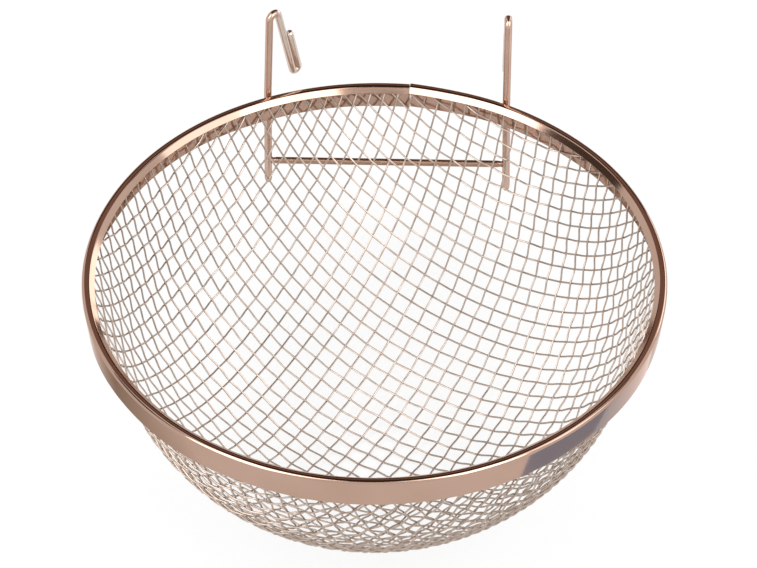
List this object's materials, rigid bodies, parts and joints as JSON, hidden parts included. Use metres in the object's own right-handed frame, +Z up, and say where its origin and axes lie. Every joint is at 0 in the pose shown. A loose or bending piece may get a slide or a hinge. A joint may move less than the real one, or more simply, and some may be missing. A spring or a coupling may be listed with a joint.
{
  "type": "wire nest pan",
  "caption": "Round bowl of plated wire cloth clamped in a folded rim band, with rear wire hooks and a cross bar to hang it in a bird cage as a nest or feed pan.",
  "frame": {"origin": "midway between the two hooks, level with the inside of their bends, where a cage bar would lie", "axes": "+Z up, out of the bowl's mouth; +X along the cage bar towards the right-hand hook; the bowl stands off to -Y"},
  "size_m": [0.11, 0.1141, 0.0699],
  "materials": {
    "rim_strip": "bright nickel-plated steel strip",
    "hook_wire": "bright nickel-plated drawn steel wire",
    "mesh_wire": "plated woven steel wire"
  },
  "bodies": {
    "root": {"cross_bar": "hook_wire", "hook_left": "hook_wire", "hook_right": "hook_wire", "rim_band": "rim_strip", "warp_wires_00": "mesh_wire", "warp_wires_01": "mesh_wire", "warp_wires_02": "mesh_wire", "warp_wires_03": "mesh_wire", "warp_wires_04": "mesh_wire", "warp_wires_05": "mesh_wire", "warp_wires_06": "mesh_wire", "warp_wires_07": "mesh_wire", "warp_wires_08": "mesh_wire", "warp_wires_09": "mesh_wire", "warp_wires_10": "mesh_wire", "warp_wires_11": "mesh_wire", "warp_wires_12": "mesh_wire", "warp_wires_13": "mesh_wire", "warp_wires_14": "mesh_wire", "warp_wires_15": "mesh_wire", "warp_wires_16": "mesh_wire", "warp_wires_17": "mesh_wire", "warp_wires_18": "mesh_wire", "warp_wires_19": "mesh_wire", "warp_wires_20": "mesh_wire", "warp_wires_21": "mesh_wire", "warp_wires_22": "mesh_wire", "weft_wires_00": "mesh_wire", "weft_wires_01": "mesh_wire", "weft_wires_02": "mesh_wire", "weft_wires_03": "mesh_wire", "weft_wires_04": "mesh_wire", "weft_wires_05": "mesh_wire", "weft_wires_06": "mesh_wire", "weft_wires_07": "mesh_wire", "weft_wires_08": "mesh_wire", "weft_wires_09": "mesh_wire", "weft_wires_10": "mesh_wire", "weft_wires_11": "mesh_wire", "weft_wires_12": "mesh_wire", "weft_wires_13": "mesh_wire", "weft_wires_14": "mesh_wire", "weft_wires_15": "mesh_wire", "weft_wires_16": "mesh_wire", "weft_wires_17": "mesh_wire", "weft_wires_18": "mesh_wire", "weft_wires_19": "mesh_wire", "weft_wires_20": "mesh_wire", "weft_wires_21": "mesh_wire", "weft_wires_22": "mesh_wire", "weft_wires_23": "mesh_wire", "weft_wires_24": "mesh_wire", "weft_wires_25": "mesh_wire", "weft_wires_26": "mesh_wire"}
  },
  "joints": []
}
